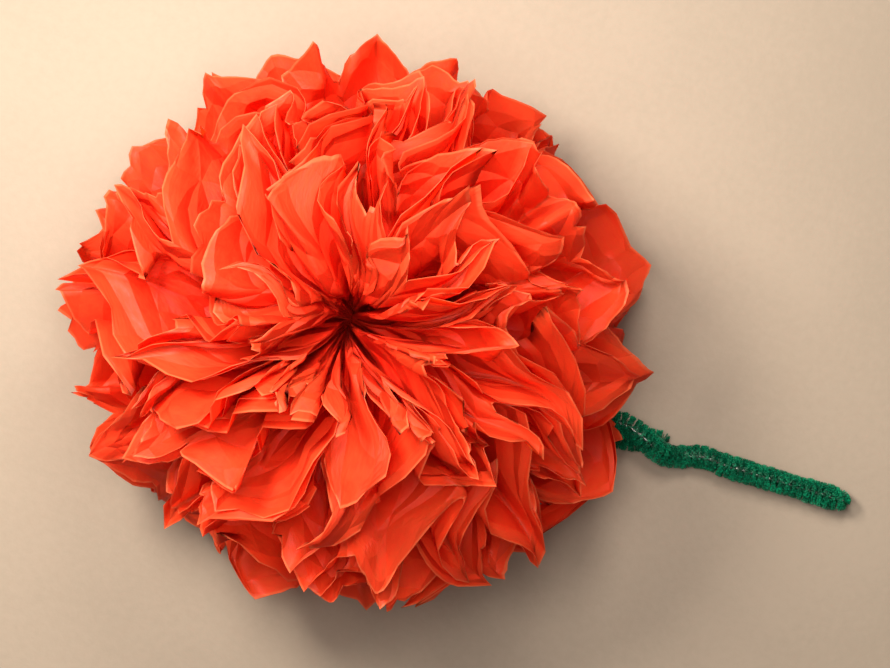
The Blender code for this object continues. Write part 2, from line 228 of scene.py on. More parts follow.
@dataclass(frozen=True)
class TissueFinish:
    """Thin tissue in orange dye: mottled fibres, sharp creases, and light that shines through, with painted
    light paling the colour towards the points and along the cut edge.
    """

    # deep and bright are the ends of the paper's tone: the random mottle between them is the paper's own, the
    # pull towards bright at the points is painted light
    deep: Colour = (1.0, 0.008, 0.004)
    bright: Colour = (1.0, 0.128, 0.034)
    # painted light: a paler colour along the cut edge, for the highlight on it and the light through the thin
    # rim
    painted_edge_light: Colour = (1.0, 0.22, 0.08)
    shine_through: Colour = (1.0, 0.125, 0.015)
    half_width: float = 76.0 * MM
    thin: float = 0.64
    thick: float = 0.50
    cloud_scale: float = 45.0
    cloud_share: float = 0.4
    fibre_scale: float = 1100.0
    fibre_share: float = 0.6
    fibre_stretch: Place = (1.0, 0.45, 1.0)
    mottle_range: Range = (0.28, 0.72)
    mottle_share: float = 0.45
    # painted light: the colour pales towards the points, for light that shines through the thin outer paper
    painted_rim_light_range: Range = (0.1, 1.1)
    painted_rim_light_share: float = 0.55
    # painted light: how near the points the paler band along the cut edge begins and ends
    painted_edge_range: Range = (0.975, 0.988)
    roughness: float = 0.50
    roughness_change: float = 0.3
    specular: float = 0.36
    crease_scale: float = 78.0
    crease_depth: float = 380.0 * MM
    fibre_depth: float = 0.10 * MM

    def material(self) -> bpy.types.Material:
        """Mix the paper's colour, with painted light paling it towards the points, with the light that comes
        through it.

        Returns:
            The material, on the sheet's own paper coordinates in metres.
        """
        shader = ShaderTree("orange_tissue")
        paper = shader.node("ShaderNodeUVMap", {"uv_map": "paper"}, {})
        drawn_out = paper.stretched(self.fibre_stretch)
        clouds = shader.noise(paper, self.cloud_scale, detail=3.0, roughness=0.6, dimensions="2D")
        fibres = shader.noise(drawn_out, self.fibre_scale, detail=2.0, roughness=0.7, dimensions="2D")
        mottle = (clouds * self.cloud_share + fibres * self.fibre_share).spread(*self.mottle_range)
        down = shader.node("ShaderNodeSeparateXYZ", {}, {"Vector": paper}, output="Y") / self.half_width
        outward = down * down
        # random mottle, the paper's own, plus painted light: paling towards the points that stands in for
        # light shining through
        tone = mottle * self.mottle_share + outward.spread(*self.painted_rim_light_range) * self.painted_rim_light_share
        mottle_and_painted_light = tone.tint(self.deep, self.bright)
        creases = shader.node(
            "ShaderNodeTexVoronoi",
            {"feature": "DISTANCE_TO_EDGE", "voronoi_dimensions": "2D"},
            {"Vector": paper, "Scale": self.crease_scale},
        )
        height = creases * (self.crease_depth / self.crease_scale) + fibres * self.fibre_depth
        relief = shader.bump(height)
        shader.set(shader.principled, {
            # painted light: the paler band along the cut edge, over the paper's colour with its painted
            # paling
            "Base Color": outward.spread(*self.painted_edge_range).tint(mottle_and_painted_light, self.painted_edge_light),
            "Roughness": self.roughness + (fibres - 0.5) * self.roughness_change,
            "Specular IOR Level": self.specular,
            "Normal": relief,
        })
        inputs = {"Color": self.shine_through, "Normal": relief}
        through = shader.node("ShaderNodeBsdfTranslucent", {}, inputs)
        share = self.thick + mottle * (self.thin - self.thick)
        front = Signal(shader, shader.principled.outputs[0])
        mixed = shader.node("ShaderNodeMixShader", {}, {0: share, 1: front, 2: through})
        shader.tree.links.new(mixed.socket, shader.surface)
        return shader.material


@dataclass(frozen=True)
class PileFinish:
    """Green chenille pile: fine shiny fibres, their green varying at random from one to the next."""

    dark: Colour = (0.0005, 0.035, 0.018)
    light: Colour = (0.002, 0.300, 0.140)
    fibre_scale: float = 2600.0
    fibre_share: float = 0.65
    patch_scale: float = 240.0
    patch_share: float = 0.35
    tone_range: Range = (0.36, 0.66)
    roughness: float = 0.42
    roughness_change: float = 0.3
    specular: float = 0.3

    def material(self) -> bpy.types.Material:
        """Vary the green from fibre to fibre.

        Returns:
            The material, on Object coordinates.
        """
        shader = ShaderTree("green_pile")
        place = shader.object_place()
        fibres = shader.noise(place, self.fibre_scale, detail=1.0)
        patches = shader.noise(place, self.patch_scale, detail=2.0)
        tone = (fibres * self.fibre_share + patches * self.patch_share).spread(*self.tone_range)
        shader.set(shader.principled, {
            "Base Color": tone.tint(self.dark, self.light),
            "Roughness": self.roughness + (patches - 0.5) * self.roughness_change,
            "Specular IOR Level": self.specular,
        })
        return shader.material


@dataclass(frozen=True)
class WireFinish:
    """Bright twisted steel wire at the heart of the stem."""

    bright: Colour = (0.62, 0.63, 0.62)
    dull: Colour = (0.45, 0.46, 0.45)
    mark_scale: float = 3000.0
    roughness: float = 0.28
    roughness_change: float = 0.3

    def material(self) -> bpy.types.Material:
        """Make drawn steel with faint marks.

        Returns:
            The material, on Object coordinates.
        """
        shader = ShaderTree("stem_wire_steel")
        marks = shader.noise(shader.object_place(), self.mark_scale, detail=2.0)
        shader.set(shader.principled, {
            "Base Color": marks.tint(self.dull, self.bright),
            "Metallic": 1.0,
            "Roughness": self.roughness + (marks - 0.5) * self.roughness_change,
        })
        return shader.material


@dataclass(frozen=True)
class TableFinish:
    """A plain pale warm table top."""

    pale: Colour = (0.380, 0.312, 0.252)
    darker: Colour = (0.356, 0.294, 0.236)
    cloud_scale: float = 14.0
    cloud_share: float = 0.6
    grain_scale: float = 420.0
    grain_share: float = 0.4
    grain_depth: float = 0.08 * MM
    tone_range: Range = (0.36, 0.64)
    roughness: float = 0.75
    specular: float = 0.25

    def material(self) -> bpy.types.Material:
        """Make the plain surface with the faintest mottling.

        Returns:
            The material, on Object coordinates.
        """
        shader = ShaderTree("pale_table")
        place = shader.object_place()
        clouds = shader.noise(place, self.cloud_scale, detail=4.0, roughness=0.6)
        grain = shader.noise(place, self.grain_scale, detail=3.0, roughness=0.6)
        tone = (clouds * self.cloud_share + grain * self.grain_share).spread(*self.tone_range)
        shader.set(shader.principled, {
            "Base Color": tone.tint(self.darker, self.pale),
            "Roughness": self.roughness,
            "Specular IOR Level": self.specular,
            "Normal": shader.bump(grain, self.grain_depth),
        })
        return shader.material


# Shared shape helpers


def ease(value: np.ndarray) -> np.ndarray:
    """Rise smoothly from 0 to 1 as the value goes from 0 to 1."""
    held = np.clip(value, 0, 1)
    return held * held * (3 - 2 * held)


@dataclass(frozen=True)
class Ripples:
    """Slow waves round the flower: for each its height, its turns and its rate over the layers."""

    seed: int
    waves: tuple[tuple[float, float, float], ...]

    def at(self, azimuth: np.ndarray, level: Any) -> np.ndarray:
        """Add up the waves.

        Args:
            azimuth: The angle round the flower's axis.
            level: The layer, 0 for the lowest and 1 for the innermost.

        Returns:
            The sum of the waves.
        """
        random = np.random.RandomState(self.seed)
        total = np.zeros(())
        for height, turns, rate in self.waves:
            phase = random.uniform(0, FULL_TURN)
            total = total + height * np.cos(turns * azimuth + rate * level + phase)
        return total


def random_unit(random: np.random.RandomState) -> np.ndarray:
    """Pick a random direction."""
    direction = random.normal(size=3)
    return direction / np.linalg.norm(direction)


def unit(vectors: np.ndarray) -> np.ndarray:
    """Bring vectors, one to a row, to a length of 1."""
    return vectors / np.linalg.norm(vectors, axis=1)[:, None]


def mesh_from(bm: bmesh.types.BMesh, name: str) -> bpy.types.Mesh:
    """Turn a bmesh into a mesh and free it.

    Args:
        bm: The bmesh.
        name: The mesh's name.

    Returns:
        The mesh.
    """
    mesh = bpy.data.meshes.new(name)
    bm.to_mesh(mesh)
    bm.free()
    return mesh


def vertex_places(mesh: bpy.types.Mesh) -> np.ndarray:
    """Read where a mesh's vertices are.

    Args:
        mesh: The mesh.

    Returns:
        The places, one to a row.
    """
    places = np.empty(len(mesh.vertices) * 3, np.float32)
    mesh.vertices.foreach_get("co", places)
    return places.reshape(-1, 3)


def corner_vertices(mesh: bpy.types.Mesh) -> np.ndarray:
    """Read which vertex each face corner of a mesh is at.

    Args:
        mesh: The mesh.

    Returns:
        The vertices' numbers.
    """
    vertices = np.empty(len(mesh.loops), np.int32)
    mesh.loops.foreach_get("vertex_index", vertices)
    return vertices


def piece_from(name: str, mesh: bpy.types.Mesh, material: bpy.types.Material,
               smooth: bool) -> bpy.types.Object:
    """Put a finished mesh into the scene.

    Args:
        name: The piece's name.
        mesh: Its mesh, already in place.
        material: Its finish.
        smooth: Whether its faces are shaded smooth.

    Returns:
        The object, at the origin.
    """
    mesh.name = name
    mesh.materials.clear()
    mesh.materials.append(material)
    mesh.polygons.foreach_set("use_smooth", [smooth] * len(mesh.polygons))
    piece = bpy.data.objects.new(name, mesh)
    bpy.context.scene.collection.objects.link(piece)
    return piece


@dataclass
class FoldedSheets:
    """The eight tissue sheets: how they are folded, tied, opened and crumpled."""

    axis: Vector
    stem: ChenilleStem

    # The flat sheets, cut and pleated
    count: int = 8
    length: float = 229 * MM
    width: float = 152 * MM
    pleats: int = 10
    pleat_variation: float = 0.22
    point_variation: float = 0.14
    point_depth: float = 15 * MM
    shallowest_notch: float = 0.6
    bluntest_point: float = 0.2
    cut_easing: int = 3
    thickness: float = 0.11 * MM
    solid_thickness: float = 0.4 * MM

    # The pressed stack under the tie, and the slit beside it
    layer_pitch: float = 0.9 * MM
    waist_half_length: float = 2.4 * MM
    waist_rounding: float = 0.83
    slit_half_gap: float = 0.15 * MM
    slit_start: float = 7.2 * MM
    slit_closing: float = 10 * MM
    slit_narrowness: int = 6
    over_loop: float = 8 * MM
    over_loop_closing: float = 12 * MM

    # How the layers fill the dome, and how each petal arches
    innermost_slope: float = math.radians(64)
    slope_ease: float = 0.3
    lowest_arch: float = math.radians(8)
    innermost_arch: float = math.radians(74)
    steepest_root: float = math.radians(93)
    arch_stations: int = 10

    # How deep the pleats stand, and how they come out of the press
    steepest_pleat_outer: float = 2.2
    steepest_pleat_inner: float = 1.5
    shallowest_pleat: float = 0.2
    lowest_fold: float = 0.55
    highest_fold: float = 1.15
    narrowest_fan: float = 0.15
    pressed_length: float = 3 * MM
    gather_length: float = 14 * MM

    # Keeping the layers in order, with flatter pleats towards the rim
    layer_clearance: float = 3.4 * MM
    nearest_layer: float = 0.9
    order_passes: int = 40
    rim_flattening: float = 0.15
    flattening_start: float = 0.3
    flattening_run: float = 0.5

    # Leaning petals, in steps from layer to layer, and turned pleats, in radians
    petal_swing: float = 1.5
    inner_swing: float = 1.2
    fold_swing: float = 0.7
    lean_inner: float = 0.20
    lean_outer: float = 0.12
    lean_cycles: float = 1.9
    lean_slowing: float = 0.7
    turn_to_centre: float = 0.25

    # Resting on the table, on the stem and on each other
    drape_clearance: float = 1.2 * MM
    drape_half_width: float = 20 * MM
    drape_squareness: int = 6
    drape_rise: float = 10 * MM
    table_softness: float = 1.2 * MM
    resting_gap: float = 0.9 * MM

    # Sharp waves that cross the whole flower
    crumple_depth: float = 3.0 * MM
    crumple_spacing: float = 64 * MM
    crumple_waves: int = 6
    crumple_finer: float = 0.78
    crumple_weaker: float = 0.74
    crumple_start: float = 4 * MM
    crumple_run: float = 28 * MM

    # Straight creases, a sheet's own
    crinkle_depth: float = 2.6 * MM
    crinkle_spacing: float = 42 * MM
    crinkle_gains: tuple[float, ...] = (2.0, 2.8, 2.8, 1.8, 1.0)
    crinkle_finer: float = 0.74
    crinkle_unevenness: float = 0.55
    crinkle_start: float = 150 * MM
    crinkle_lines: int = 120

    # Curled points, in steps from layer to layer
    curl: float = 1.6
    inner_curl: float = 1.8
    fold_curl: float = 0.4
    earliest_bend: float = 0.45
    latest_bend: float = 0.85

    # Ragged cuts and nicks
    ragged_depth: float = 0.8 * MM
    nick_share: float = 0.13
    deepest_nick: float = 3.2 * MM
    nick_narrowness: int = 24

    # Seeds, the grid and the slow waves round the flower
    fold_seed: int = 123
    pattern_step: float = 310 * MM
    columns_per_half_pleat: int = 8
    rows: int = 56
    pleat_ripples: Ripples = Ripples(11, ((0.2, 5, 2), (0.15, 9, -3)))
    layer_ripples: Ripples = Ripples(12, ((0.03, 3, 2.5), (0.02, 5, -3), (0.02, 8, 3)))
    lean_ripples: Ripples = Ripples(21, ((0.8, 2, 0), (0.35, 3, 0)))
    turn_ripples: Ripples = Ripples(22, ((0.030, 3, 11), (0.022, 6, -16), (0.014, 9, 21)))
    bunch_ripples: Ripples = Ripples(
        23, ((0.055, 5, 4), (0.02, 9, -7), (0.08, 2, 24), (0.04, 3, -19)))
    finish: TissueFinish = field(default_factory=TissueFinish)

    @property
    def half_length(self) -> float:
        """Give the length of a petal, from the tie to its point."""
        return self.width / 2 - self.waist_half_length

    @property
    def stack_height(self) -> float:
        """Give the height of the pressed stack."""
        return self.layer_pitch * (self.count - 1)

    @property
    def lowest_slope(self) -> float:
        """Give the slope of the lowest sheet, which hangs as its length lets it."""
        widest = (self.length / math.pi - self.waist_half_length) / self.half_length
        return -math.acos(min(widest, 1))

    @property
    def slope_range(self) -> float:
        """Give the difference in slope between the innermost and the lowest sheet."""
        return self.innermost_slope - self.lowest_slope

    def stream(self, use: Stream, sheet: int = 0) -> np.random.RandomState:
        """Start one of the seeded streams of random numbers, with one for each sheet where asked."""
        return np.random.RandomState(self.fold_seed + use.value + sheet)

    def mean_slope(self, level: np.ndarray) -> np.ndarray:
        """Give a layer's mean slope; level 0 is the lowest sheet and 1 the innermost."""
        eased = (1 + self.slope_ease) * level - self.slope_ease * level * level
        return self.lowest_slope + self.slope_range * eased

    def layer_spread(self, level: np.ndarray, along: np.ndarray) -> np.ndarray:
        """Give the distance across the layers for one unit of level, at a distance from the tie."""
        rate = self.slope_range * (1 + self.slope_ease - 2 * self.slope_ease * level)
        return along * rate + self.stack_height

    def petal_swings(self) -> np.ndarray:
        """Pick a lean for each fold and each point of every half sheet.

        Returns:
            The leans, by sheet, half and fold line, equal where two halves meet.
        """
        values = self.stream(Stream.SWINGS).uniform(-1, 1, (self.count, 2, 2 * self.pleats + 1))
        values[:, :, ::2] *= self.fold_swing
        values[:, 1, 0] = values[:, 0, 0]
        values[:, 1, -1] = values[:, 0, -1]
        return values

    def fold_places(self) -> np.ndarray:
        """Place the folds and points across a sheet: no two pleats are alike.

        Returns:
            The places of the fold lines, as shares of the sheet's length.
        """
        random = self.stream(Stream.PLEAT_WIDTHS)
        widths = random.uniform(1 - self.pleat_variation, 1 + self.pleat_variation, self.pleats)
        folds = np.concatenate([[0], np.cumsum(widths)]) / widths.sum()
        places = np.empty(2 * self.pleats + 1)
        places[::2] = folds
        strays = random.uniform(-self.point_variation, self.point_variation, self.pleats)
        places[1::2] = folds[:-1] + np.diff(folds) * (0.5 + strays)
        return places

    def cut_depth(self, column: np.ndarray) -> np.ndarray:
        """Give how deep the edge is cut back: a notch at each fold, nothing at each point.

        Args:
            column: The half-pleat number at each grid point.

        Returns:
            The depth at the edge, in metres, by sheet, half, row and column.
        """
        random = self.stream(Stream.NOTCHES)
        shares = random.uniform(self.shallowest_notch, 1, (self.count, 2, 2 * self.pleats + 1))
        shares[:, :, 1::2] = random.uniform(0, self.bluntest_point, (self.count, 2, self.pleats))
        return self.point_depth * self.between_lines(shares, column)

    def pleat_wave(self, column: np.ndarray) -> np.ndarray:
        """Give the zigzag of the folds: up on even folds, down on odd ones, 0 near the points between.

        Args:
            column: The half-pleat number at each grid point.

        Returns:
            The height there, as a share of half the pleat's depth.
        """
        lines = np.arange(self.pleats + 1)
        random = self.stream(Stream.FOLD_HEIGHTS)
        heights = random.uniform(self.lowest_fold, self.highest_fold, self.pleats + 1)
        heights *= np.where(lines % 2 == 0, 1.0, -1.0)
        heights[-1] = heights[0] if self.pleats % 2 == 0 else -heights[0]
        return np.interp(column / 2, lines, heights)

    def between_lines(self, values: np.ndarray, column: np.ndarray) -> np.ndarray:
        """Blend values given at the fold lines over the grid.

        Args:
            values: Values by sheet, half and fold line.
            column: The half-pleat number at each grid point, by half, row and column.

        Returns:
            The blended values, by sheet, half, row and column.
        """
        whole = column.astype(int).clip(0, 2 * self.pleats - 1)
        part = column - whole
        halves = []
        for side in range(2):
            before = values[:, side][:, whole[side]]
            after = values[:, side][:, whole[side] + 1]
            halves.append(before * (1 - part[side]) + after * part[side])
        return np.stack(halves, axis=1)

    def crinkles(self, column: np.ndarray, row: np.ndarray) -> np.ndarray:
        """Crease every sheet its own way with straight, unevenly spaced folds.

        Args:
            column: The half-pleat number at each grid point.
            row: The place from one edge of points, through the waist, to the other.

        Returns:
            The height of the creases, in metres, by sheet, half, row and column.
        """
        across = column / (2 * self.pleats) * self.length
        down = row * self.width / 2
        sheets = []
        for sheet in range(self.count):
            random = self.stream(Stream.CRINKLES, sheet)
            height = np.zeros_like(across)
            spacing = self.crinkle_spacing
            depth = self.crinkle_depth
            uneven = self.crinkle_unevenness
            for gain in self.crinkle_gains:
                angle = random.uniform(0, math.pi)
                place = across * math.cos(angle) + down * math.sin(angle) + self.crinkle_start
                steps = random.uniform(1 - uneven, 1 + uneven, self.crinkle_lines)
                folds = random.uniform(-1, 1, self.crinkle_lines) * depth * gain
                height += np.interp(place, np.cumsum(steps) * spacing / 2, folds)
                spacing *= self.crinkle_finer
                depth *= self.crinkle_finer
            sheets.append(height)
        return np.stack(sheets)

    def pleat_depths(self, layers: np.ndarray, along: np.ndarray, azimuth: np.ndarray) -> np.ndarray:
        """Give how deep the pleats are: as deep as the paper's length leaves for them.

        Args:
            layers: The mean level of each sheet.
            along: The distance from the tie.
            azimuth: The angle round the flower's axis.

        Returns:
            The depth from an upper fold to a lower one, in metres.
        """
        fan = np.maximum(np.cos(self.mean_slope(layers)), self.narrowest_fan)
        run = (self.waist_half_length + along * fan) * math.pi / self.pleats
        panel = self.length / self.pleats
        depth = np.sqrt(np.maximum(panel ** 2 - run ** 2, (self.shallowest_pleat * panel) ** 2))
        steeper = self.steepest_pleat_inner - self.steepest_pleat_outer
        depth = np.minimum(depth, (self.steepest_pleat_outer + steeper * layers) * run)
        depth = depth * ease((along - self.pressed_length) / self.gather_length)
        depth = depth * (1 + self.pleat_ripples.at(azimuth, layers))
        rim = ease((along / self.half_length - self.flattening_start) / self.flattening_run)
        return depth * (1 - self.rim_flattening * rim)

    def levels(self, column: np.ndarray, along: np.ndarray, azimuth: np.ndarray,
               row: np.ndarray) -> np.ndarray:
        """Give the level of every layer at each point of the grid, kept in order.

        Args:
            column: The half-pleat number at each grid point.
            along: The distance from the tie.
            azimuth: The angle round the flower's axis.
            row: The place from one edge of points, through the waist, to the other.

        Returns:
            The levels, by sheet, half, row and column.
        """
        layers = np.linspace(0, 1, self.count).reshape(-1, 1, 1, 1)
        step = 1 / (self.count - 1)
        spread = self.layer_spread(layers, along)
        depth = self.pleat_depths(layers, along, azimuth)
        levels = layers + 0.5 * depth / spread * self.pleat_wave(column)
        levels = levels + ease(along / self.half_length) * self.layer_ripples.at(azimuth, layers)
        swing = self.between_lines(self.petal_swings(), column)
        swung = (self.petal_swing + self.inner_swing * layers) * step * swing
        levels = levels + swung * (along / self.half_length)
        levels = levels + self.crinkles(column, row) * self.opened(along) / spread
        levels = levels + (self.curl + self.inner_curl * layers) * step * self.tip_bends(column, row)
        gap = np.minimum(self.nearest_layer * step, self.layer_clearance / spread)
        return self.keep_in_order(levels, gap)

    def opened(self, along: np.ndarray) -> np.ndarray:
        """Give how free of the tie's press the paper is, from 0 to 1."""
        return ease((along - self.crumple_start) / self.crumple_run)

    def tip_bends(self, column: np.ndarray, row: np.ndarray) -> np.ndarray:
        """Bend each petal's tip up or down along its own crease.

        Args:
            column: The half-pleat number at each grid point.
            row: The place from one edge of points, through the waist, to the other.

        Returns:
            The bend, -1 to 1, by sheet, half, row and column.
        """
        random = self.stream(Stream.TIP_BENDS)
        shape = (self.count, 2, 2 * self.pleats + 1)
        bends = random.uniform(-1, 1, shape)
        bends[:, :, ::2] *= self.fold_curl
        starts = random.uniform(self.earliest_bend, self.latest_bend, shape)
        past = np.maximum(np.abs(row) - self.between_lines(starts, column), 0)
        return self.between_lines(bends, column) * past / (1 - self.earliest_bend)

    def keep_in_order(self, levels: np.ndarray, gap: np.ndarray) -> np.ndarray:
        """Push neighbouring layers apart until each lies at least the gap above the one below it.

        Args:
            levels: The levels, by sheet and place.
            gap: The least step between two layers, by sheet and place.

        Returns:
            The levels, in order.
        """
        for _ in range(self.order_passes):
            short = np.maximum(gap[1:] - (levels[1:] - levels[:-1]), 0)
            levels[:-1] -= short / 2
            levels[1:] += short / 2
        return levels

    def waist_edge(self, level: np.ndarray) -> tuple[np.ndarray, np.ndarray]:
        """Measure the pressed stack, which is a rounded bundle.

        Args:
            level: The level at each point.

        Returns:
            Half the stack's length and half its width at those levels.
        """
        length = self.waist_half_length + self.stack_height * np.clip(1 - level, 0, 1)
        rounding = self.waist_rounding * np.clip(2 * level - 1, -1, 1)
        return length, self.stem.waist_half_width * np.sqrt(1 - rounding ** 2)

    def arch(self, level: np.ndarray, along: np.ndarray) -> tuple[np.ndarray, np.ndarray]:
        """Follow a petal's curve out from the waist's edge.

        Args:
            level: The level at each point.
            along: The distance from the tie.

        Returns:
            The reach outward and the rise.
        """
        bend = self.lowest_arch + (self.innermost_arch - self.lowest_arch) * level
        root = np.minimum(self.mean_slope(level) + bend / 3, self.steepest_root)
        tip = self.mean_slope(level) - 2 * bend / 3
        stations = self.arch_stations
        reach = np.zeros_like(level)
        rise = np.zeros_like(level)
        for station in range(stations):
            travelled = along * (station + 0.5) / stations
            slope = root + (tip - root) * (travelled / self.half_length) ** 2
            reach = reach + np.cos(slope) * along / stations
            rise = rise + np.sin(slope) * along / stations
        return reach, rise

    def turned(self, level: np.ndarray, along: np.ndarray, azimuth: np.ndarray) -> np.ndarray:
        """Turn the points about the axis: pleats lean over, and their spacing varies.

        Args:
            level: The level at each point.
            along: The distance from the tie.
            azimuth: The angle round the flower's axis.

        Returns:
            The angle, in radians.
        """
        lean = self.lean_outer + (self.lean_inner - self.lean_outer) * ease(level)
        phase = self.lean_ripples.at(azimuth, 0)
        cycles = self.lean_cycles * level - self.lean_slowing * level * level
        angle = lean * np.sin(FULL_TURN * cycles + phase)
        angle = angle + self.turn_ripples.at(azimuth, level)
        angle = angle + ease(level) * self.bunch_ripples.at(azimuth, level)
        angle = angle + self.turn_to_centre * level
        loop_clear = self.stem.waist_half_width + self.stem.pressed_radius
        return angle * ease((along - loop_clear) / (self.half_length - loop_clear))

    def crumpled(self, points: np.ndarray, fade: np.ndarray) -> np.ndarray:
        """Shift the points by a few sharp-creased waves that cross the whole flower.

        Args:
            points: The points, with x, y and z last.
            fade: How much of the shift each one gets.

        Returns:
            The shifted points.
        """
        random = self.stream(Stream.CRUMPLES)
        shift = np.zeros_like(points)
        spacing = self.crumple_spacing
        depth = self.crumple_depth
        for _ in range(self.crumple_waves):
            across = random_unit(random)
            direction = random_unit(random)
            phase = random.uniform(0, FULL_TURN)
            wave = 2 / math.pi * np.arcsin(np.sin(FULL_TURN / spacing * (points @ across) + phase))
            shift += (depth * wave)[..., None] * direction
            spacing *= self.crumple_finer
            depth *= self.crumple_weaker
        return points + shift * fade[..., None]

    def laid_down(self, points: np.ndarray) -> np.ndarray:
        """Let what would sink below the table, the stem or a lower sheet rest just above it.

        Args:
            points: The points by sheet, half, row and column, with x, y and z last.

        Returns:
            The raised points.
        """
        x, y, z = points[..., 0], points[..., 1], points[..., 2]
        stem_top = 2 * self.stem.rest_height + self.drape_clearance
        beside = np.exp(-(y / self.drape_half_width) ** self.drape_squareness)
        out = ease((x - self.stem.rest_height) / self.drape_rise)
        ground = self.solid_thickness / 2 + stem_top * beside * out
        ground = ground + self.resting_gap * np.arange(self.count).reshape(-1, 1, 1, 1)
        lifted = ground + self.table_softness * np.logaddexp(0, (z - ground) / self.table_softness)
        return np.stack([x, y, lifted], axis=-1)

    def nicked(self, row: np.ndarray, column: np.ndarray) -> np.ndarray:
        """Give how much paper is missing at the cut edge: ragged cuts and a few small nicks.

        Args:
            row: The place from one edge of points, through the waist, to the other.
            column: The half-pleat number at each grid point.

        Returns:
            The missing length, in metres, by sheet, half, row and column.
        """
        random = self.stream(Stream.NICKS)
        shape = (self.count, 2, 1, column.shape[-1])
        ragged = random.uniform(0, self.ragged_depth, shape)
        chosen = random.uniform(size=shape) < self.nick_share
        nick = np.where(chosen, random.uniform(0, self.deepest_nick, shape), 0)
        return (ragged + nick) * np.abs(row) ** self.nick_narrowness

    def shaped(self) -> tuple[np.ndarray, np.ndarray, np.ndarray]:
        """Place the grid points of every sheet.

        Returns:
            The points by sheet, half, row and column, and the paper coordinates of each
            half, row and column.
        """
        across = np.linspace(0, 2 * self.pleats, 2 * self.pleats * self.columns_per_half_pleat + 1)
        places = np.linspace(0, 1, self.rows + 1)
        column, out = np.meshgrid(across, places)
        column = np.stack([column, column])
        row = np.stack([-out, out])
        side = np.array([-1.0, 1.0]).reshape(2, 1, 1)
        out = np.abs(row)
        share = np.interp(column, np.arange(2 * self.pleats + 1), self.fold_places())
        fan = (share - 0.5) * math.pi
        azimuth = np.where(side > 0, fan, math.pi - fan)
        along = out * self.half_length - self.cut_depth(column) * out ** self.cut_easing
        along = along - self.nicked(row, column)
        level = self.levels(column, along, azimuth, row)
        reach, rise = self.arch(level, along)
        half_length, half_width = self.waist_edge(level)
        closing = ease((reach - self.slit_start) / self.slit_closing)
        closing = closing * np.sin(fan) ** self.slit_narrowness
        closing = closing + (1 - closing) * ease((rise - self.over_loop) / self.over_loop_closing)
        apart = self.waist_half_length + (self.slit_half_gap - self.waist_half_length) * closing
        x = side * (apart + np.cos(fan) * (half_length - self.waist_half_length + reach))
        y = (half_width + reach) * np.sin(fan)
        z = self.stem.tie_height + (level - 0.5) * self.stack_height + rise
        angle = self.turned(level, along, azimuth)
        cos, sin = np.cos(angle), np.sin(angle)
        points = np.stack([x * cos - y * sin, x * sin + y * cos, z], axis=-1)
        points = self.crumpled(points, np.broadcast_to(self.opened(along), z.shape))
        points = self.laid_down(points) + np.array(self.axis)
        return points, share * self.length, row * self.width / 2

    def opened_sheet(self, points: np.ndarray, paper: np.ndarray) -> bpy.types.Mesh:
        """Move a flat grid to where the fold formulas put it.

        Args:
            points: The points by half, row and column, with x, y and z last.
            paper: The paper coordinates by half, row and column, with both last.

        Returns:
            The sheet's mesh, with its paper coordinates.
        """
        places = np.concatenate([points[0, ::-1], points[1]])
        marks = np.concatenate([paper[0, ::-1], paper[1]])
        rows, columns = places.shape[0] - 1, places.shape[1] - 1
        bm = bmesh.new()
        bmesh.ops.create_grid(bm, x_segments=columns, y_segments=rows, size=1.0)
        for edge in bm.edges:
            edge.smooth = not edge.is_boundary
        mesh = mesh_from(bm, "tissue")
        flat = vertex_places(mesh)
        i = np.rint((flat[:, 0] + 1) / 2 * columns).astype(int)
        j = np.rint((flat[:, 1] + 1) / 2 * rows).astype(int)
        mesh.vertices.foreach_set("co", places[j, i].astype(np.float32).ravel())
        corner = corner_vertices(mesh)
        layer = mesh.uv_layers.new(name="paper")
        layer.uv.foreach_set("vector", marks[j[corner], i[corner]].astype(np.float32).ravel())
        mesh.update()
        return mesh

    def build(self) -> list[bpy.types.Object]:
        """Make the sheets: each is a flat grid, moved by the fold formulas and thickened.

        Returns:
            One piece for each sheet.
        """
        points, across, down = self.shaped()
        material = self.finish.material()
        paper = np.stack([across, down], axis=-1)
        pieces = []
        for sheet in range(self.count):
            shift = np.array([self.pattern_step * (sheet + 1), 0.0])
            mesh = self.opened_sheet(points[sheet], paper + shift)
            piece = piece_from(f"tissue_sheet_{sheet + 1}", mesh, material, smooth=True)
            solidify = piece.modifiers.new("Thickness", "SOLIDIFY")
            solidify.thickness = self.thickness
            solidify.offset = 0
            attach(piece, "root")
            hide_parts(f"sheet_{sheet + 1}")
            pieces.append(piece)
        return pieces


